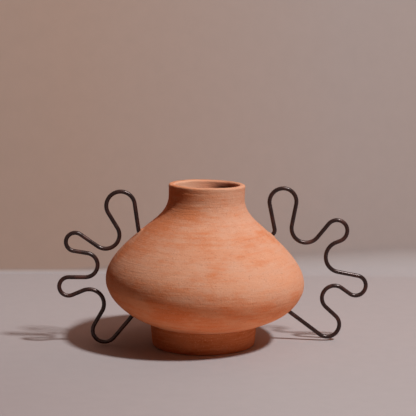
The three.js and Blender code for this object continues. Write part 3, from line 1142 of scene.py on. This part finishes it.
# Iron wire: its colours, then scale per metre, detail and roughness of each noise and where in
# it the mark begins
IRON_OXIDE = (0.03, 0.0125, 0.011, 1.0)
IRON_RUST = (0.08, 0.026, 0.019, 1.0)
IRON_RUBBED = (0.2, 0.17, 0.16, 1.0)
RUST_GRAIN = (55.0, 4.0, 0.6)
RUST_EDGES = (0.48, 0.68)
RUB_GRAIN = (210.0, 5.0, 0.7)
RUB_EDGES = (0.62, 0.72)
RUB_AMOUNT = 0.5
PIT_GRAIN = (1400.0, 3.0, 0.6)

# Its roughness where it is oxide and where it is rust, and what its pits add to that
OXIDE_ROUGHNESS = 0.2
RUST_ROUGHNESS = 0.36
PIT_ROUGHNESS = 0.1
PIT_RELIEF = (0.0001, 0.6)
IRON_METALLIC = 0.35


def wire_material():
    """Blackened iron: dark oxide, browner where it has rusted, bare on the rubbed places."""
    material, w, shader = new_material("blackened_wire")
    place = w.place()
    rust = w.levels(w.grain(place, *RUST_GRAIN), *RUST_EDGES)
    rubs = w.levels(w.grain(place, *RUB_GRAIN), *RUB_EDGES)
    pits = w.grain(place, *PIT_GRAIN)
    rusted = w.blend(rust, IRON_OXIDE, IRON_RUST)
    rubbed = w.blend(w.math("MULTIPLY", rubs, RUB_AMOUNT), rusted, IRON_RUBBED)
    w.feed(rubbed, shader.inputs["Base Color"])
    dull = w.levels(rust, 0.0, 1.0, OXIDE_ROUGHNESS, RUST_ROUGHNESS)
    pitted = w.math("ADD", dull, w.math("MULTIPLY", pits, PIT_ROUGHNESS))
    w.feed(pitted, shader.inputs["Roughness"])
    shader.inputs["Metallic"].default_value = IRON_METALLIC
    relief_on(w, shader, pits, *PIT_RELIEF)
    return material


PASTE_DRY = (0.3, 0.25, 0.21, 1.0)
PASTE_DAMP = (0.2, 0.15, 0.12, 1.0)
DAMP_GRAIN = (160.0, 4.0, 0.6)
DAMP_EDGES = (0.35, 0.65)
PASTE_RELIEF = (0.0005, 0.9)
PASTE_ROUGHNESS = 0.95
PASTE_GRIT = {
    "Pale Grain": (0.5, 0.46, 0.4, 1.0),
    "Dark Grain": (0.1, 0.08, 0.07, 1.0),
    "Amount": 0.7,
    "Grains per Metre": 1100.0,
}


def paste_material(grog):
    """Hardened setting paste, the colour of dry cement."""
    material, w, shader = new_material("setting_paste")
    damp = w.levels(w.grain(w.place(), *DAMP_GRAIN), *DAMP_EDGES)
    grit = w.add("ShaderNodeGroup", PASTE_GRIT, node_tree=grog)
    w.feed(w.blend(damp, PASTE_DRY, PASTE_DAMP), grit.inputs["Color"])
    w.feed(grit.outputs["Color"], shader.inputs["Base Color"])
    relief_on(w, shader, grit.outputs["Height"], *PASTE_RELIEF)
    shader.inputs["Roughness"].default_value = PASTE_ROUGHNESS
    return material


def dress_vase():
    """Makes every piece of the vase and gives it its finish."""
    grog = grog_group()
    groups = (turned_clay_group(), grog, rubbed_edge_group())
    body_clay = clay_material("body_terracotta", groups, BODY_CLAY, RUBBED_LIP, mouth_stains_and_shadow)
    # The foot is painted darker, as shade under the belly
    foot_shaded_clay = clay_material("foot_terracotta_shaded", groups, FOOT_SHADED_CLAY, RUBBED_TREAD)
    add_piece("thrown_body", body_mesh(), "vessel_body", body_clay)
    add_piece("thrown_foot", foot_mesh(), "foot_ring", foot_shaded_clay)
    iron = wire_material()
    paste = paste_material(grog)
    for node, wire_seed, paste_seed in zip(HANDLES, WIRE_SEEDS, PASTE_SEEDS):
        side = HANDLES[node]["side"]
        side_name = node.split("_")[0]
        stations, holes = ROUTES[node]
        wire = wire_mesh(f"{side_name}_wire", stations, side, wire_seed)
        add_piece(f"{side_name}_wire", wire, node, iron)
        for place, hole in holes.items():
            name = f"{side_name}_{place}_paste"
            lump = setting_mesh(name, side, hole, paste_seed)
            add_piece(name, lump, f"{side_name}_{place}_setting", paste)


# Paper of the stage as the lens sees it, and as it lights the vase
FLOOR_COLOUR = (0.425, 0.397, 0.41, 1.0)
# Painted shade: the table darker towards the front left
FLOOR_SHADE = (0.385, 0.345, 0.355, 1.0)
WALL_COLOUR = (0.614, 0.459, 0.39, 1.0)
WALL_GREY = (0.559, 0.485, 0.47, 1.0)
BOUNCE_COLOUR = (0.78, 0.53, 0.39, 1.0)
BOUNCE_FAR = (0.16, 0.075, 0.045, 1.0)
WALL_BOUNCE = (0.68, 0.38, 0.28, 1.0)

# Size of the stage, in millimetres
WALL_DISTANCE = 372.0
FLOOR_REACH = 2600.0
WALL_TOP = 1500.0
FLOOR_DROP = 0.05

# Places on the stage, in metres, between which its colours run into each other
NEAR_BOUNCE = (0.15, 0.28)
BOUNCE_MIDDLE = (0.06, -0.04, 0.0)
SHADED_SIDE = (0.05, -0.2)
SHADED_FRONT = (0.15, -0.2)
GREY_SIDE = (-0.15, 0.2)
HORIZON_SIDE = (-0.15, 0.25)
HORIZON_BLUR = (0.006, 0.034)
HORIZON_EDGES = (0.1, 1.2)

# Finish of the paper: scale per metre, detail and roughness of its mottle, and how far that goes
MOTTLE_GRAIN = (60.0, 4.0, 0.6)
MOTTLE_REACH = (0.3, 0.7, 0.985, 1.015)
PAPER_ROUGHNESS = 0.9
PAPER_SHEEN = 0.15

# Cove between table and wall: its radius at places across the stage, in millimetres
COVES = ((-2600.0, 6.0), (-150.0, 6.0), (250.0, 34.0), (2600.0, 34.0))
COVE_STEPS = 12


def stage_material():
    """Matt paper of the stage: table colour running up into the wall's, higher on the right.

    The lens and mirror-like reflections see the paper as it is. What it throws back on the
    vase is warmer, and dies away from the vase, as in a small warm room with a small table.
    From its back the paper is seen through.
    """
    material, w, shader = new_material("stage_paper")
    place = w.place()
    across, deep, up = w.parts(place)
    blur = w.levels(across, *HORIZON_SIDE, *HORIZON_BLUR)
    up_wall = w.levels(w.math("DIVIDE", up, blur), *HORIZON_EDGES)
    wall = w.blend(w.levels(across, *GREY_SIDE), WALL_COLOUR, WALL_GREY)
    # Painted shade: the table darker towards the front left
    shaded = w.math(
        "MULTIPLY", w.levels(across, *SHADED_SIDE), w.levels(deep, *SHADED_FRONT)
    )
    paper = w.blend(up_wall, w.blend(shaded, FLOOR_COLOUR, FLOOR_SHADE), wall)
    mottle = w.levels(w.grain(place, *MOTTLE_GRAIN), *MOTTLE_REACH)
    tint = w.blend(1.0, paper, mottle, "MULTIPLY")
    away = w.vector("DISTANCE", place, BOUNCE_MIDDLE)
    low_bounce = w.blend(w.levels(away, *NEAR_BOUNCE), BOUNCE_COLOUR, BOUNCE_FAR)
    bounce = w.blend(up_wall, low_bounce, WALL_BOUNCE)
    w.feed(w.blend(w.seen(), bounce, tint), shader.inputs["Base Color"])
    shader.inputs["Roughness"].default_value = PAPER_ROUGHNESS
    shader.inputs["Specular IOR Level"].default_value = PAPER_SHEEN
    clear = w.add("ShaderNodeBsdfTransparent")
    back = w.add("ShaderNodeNewGeometry").outputs["Backfacing"]
    w.finish("Material Output", back, shader.outputs["BSDF"], clear.outputs["BSDF"])
    return material


def stage_set():
    """Table top and backdrop, joined by a cove that widens to the right; square to the camera."""
    verts = []
    faces = []
    turn = Matrix.Rotation(-math.radians(CAMERA_TURN), 3, "Z")
    for column, (side, radius) in enumerate(COVES):
        cove = Vector((WALL_DISTANCE - radius, radius - FLOOR_DROP))
        line = [
            Vector((-FLOOR_REACH, -FLOOR_DROP)),
            *quarter_turn(cove, radius, -90.0, COVE_STEPS),
            Vector((WALL_DISTANCE, WALL_TOP)),
        ]
        for point in line:
            spot = turn @ Vector((side, point.x, point.y))
            verts.append((spot * MM) + Vector((POT_X, 0.0, 0.0)))
        if column:
            here = column * len(line)
            before = here - len(line)
            for i in range(len(line) - 1):
                faces.append((before + i, here + i, here + i + 1, before + i + 1))
    mesh = bpy.data.meshes.new("stage")
    mesh.from_pydata([tuple(v) for v in verts], [], faces)
    for polygon in mesh.polygons:
        polygon.use_smooth = True
    stage = bpy.data.objects.new("stage", mesh)
    bpy.context.scene.collection.objects.link(stage)
    mesh.materials.append(stage_material())


# Lamps: degrees right of the camera and up from the table, metres and watts
KEY_SIDE = 50.5
KEY_RISE = 53.0
KEY_DISTANCE = 4.0
KEY_SIZE = 0.4
KEY_POWER = 146.0
KEY_COLOUR = (1.0, 1.0, 0.98)
OVERHEAD_SIDE = 20.0
OVERHEAD_RISE = 80.0
OVERHEAD_DISTANCE = 2.0
OVERHEAD_SIZE = 1.6
OVERHEAD_POWER = 4.6
OVERHEAD_COLOUR = (1.0, 0.56, 0.43)
AIM_HEIGHT = 0.07

# Room behind the stage: its weak warm light, and how bright the lens sees it
FILL_COLOUR = (1.0, 0.5, 0.36)
FILL_STRENGTH = 0.012
ROOM_SHOWN = 0.6


def toward(side, rise):
    """Direction from the vase, side degrees right of the camera and rise degrees up."""
    azimuth = math.radians(side - 90.0 - CAMERA_TURN)
    flat = math.cos(math.radians(rise))
    return Vector((
        flat * math.cos(azimuth),
        flat * math.sin(azimuth),
        math.sin(math.radians(rise)),
    ))


def soft_light(name, side, rise, distance, size, power, colour):
    """Round soft box aimed at the middle of the vase."""
    lamp = bpy.data.lights.new(name, "AREA")
    lamp.shape = "DISK"
    lamp.size = size
    lamp.energy = power
    lamp.color = colour
    holder = bpy.data.objects.new(name, lamp)
    aim = Vector((POT_X, 0.0, AIM_HEIGHT))
    direction = toward(side, rise)
    holder.location = aim + direction * distance
    holder.rotation_euler = direction.to_track_quat("Z", "Y").to_euler()
    bpy.context.scene.collection.objects.link(holder)


def studio():
    """Key lamp from the front right, a weak warm one overhead and a weak warm room.

    The lens and mirror-like reflections see the room in the backdrop's colour.
    """
    scene = bpy.context.scene
    scene.view_settings.view_transform = "Standard"
    soft_light("key", KEY_SIDE, KEY_RISE, KEY_DISTANCE, KEY_SIZE, KEY_POWER, KEY_COLOUR)
    soft_light(
        "overhead", OVERHEAD_SIDE, OVERHEAD_RISE, OVERHEAD_DISTANCE, OVERHEAD_SIZE,
        OVERHEAD_POWER, OVERHEAD_COLOUR,
    )
    world = bpy.data.worlds.new("room")
    world.use_nodes = True
    scene.world = world
    w = Wiring(world.node_tree)
    room = world.node_tree.nodes["Background"]
    room.inputs["Color"].default_value = (*FILL_COLOUR, 1.0)
    room.inputs["Strength"].default_value = FILL_STRENGTH
    shown = w.add("ShaderNodeBackground", {"Color": WALL_COLOUR, "Strength": ROOM_SHOWN})
    w.finish("World Output", w.seen(), room.outputs["Background"], shown.outputs["Background"])


def photo_camera():
    """Camera at the photo's angle and distance."""
    lens = bpy.data.cameras.new("photo_camera")
    lens.sensor_width = SENSOR_WIDTH
    lens.lens = FOCAL_PIXELS / FRAME_PIXELS * SENSOR_WIDTH
    lens.clip_start = NEAREST_SEEN
    lens.clip_end = FARTHEST_SEEN
    holder = bpy.data.objects.new("photo_camera", lens)
    holder.location = CAMERA_PLACE * MM + Vector((POT_X, 0.0, 0.0))
    holder.rotation_euler = (
        math.radians(90.0 - CAMERA_PITCH),
        0.0,
        -math.radians(CAMERA_TURN),
    )
    bpy.context.scene.collection.objects.link(holder)
    bpy.context.scene.camera = holder


photo_camera()
dress_vase()
stage_set()
studio()
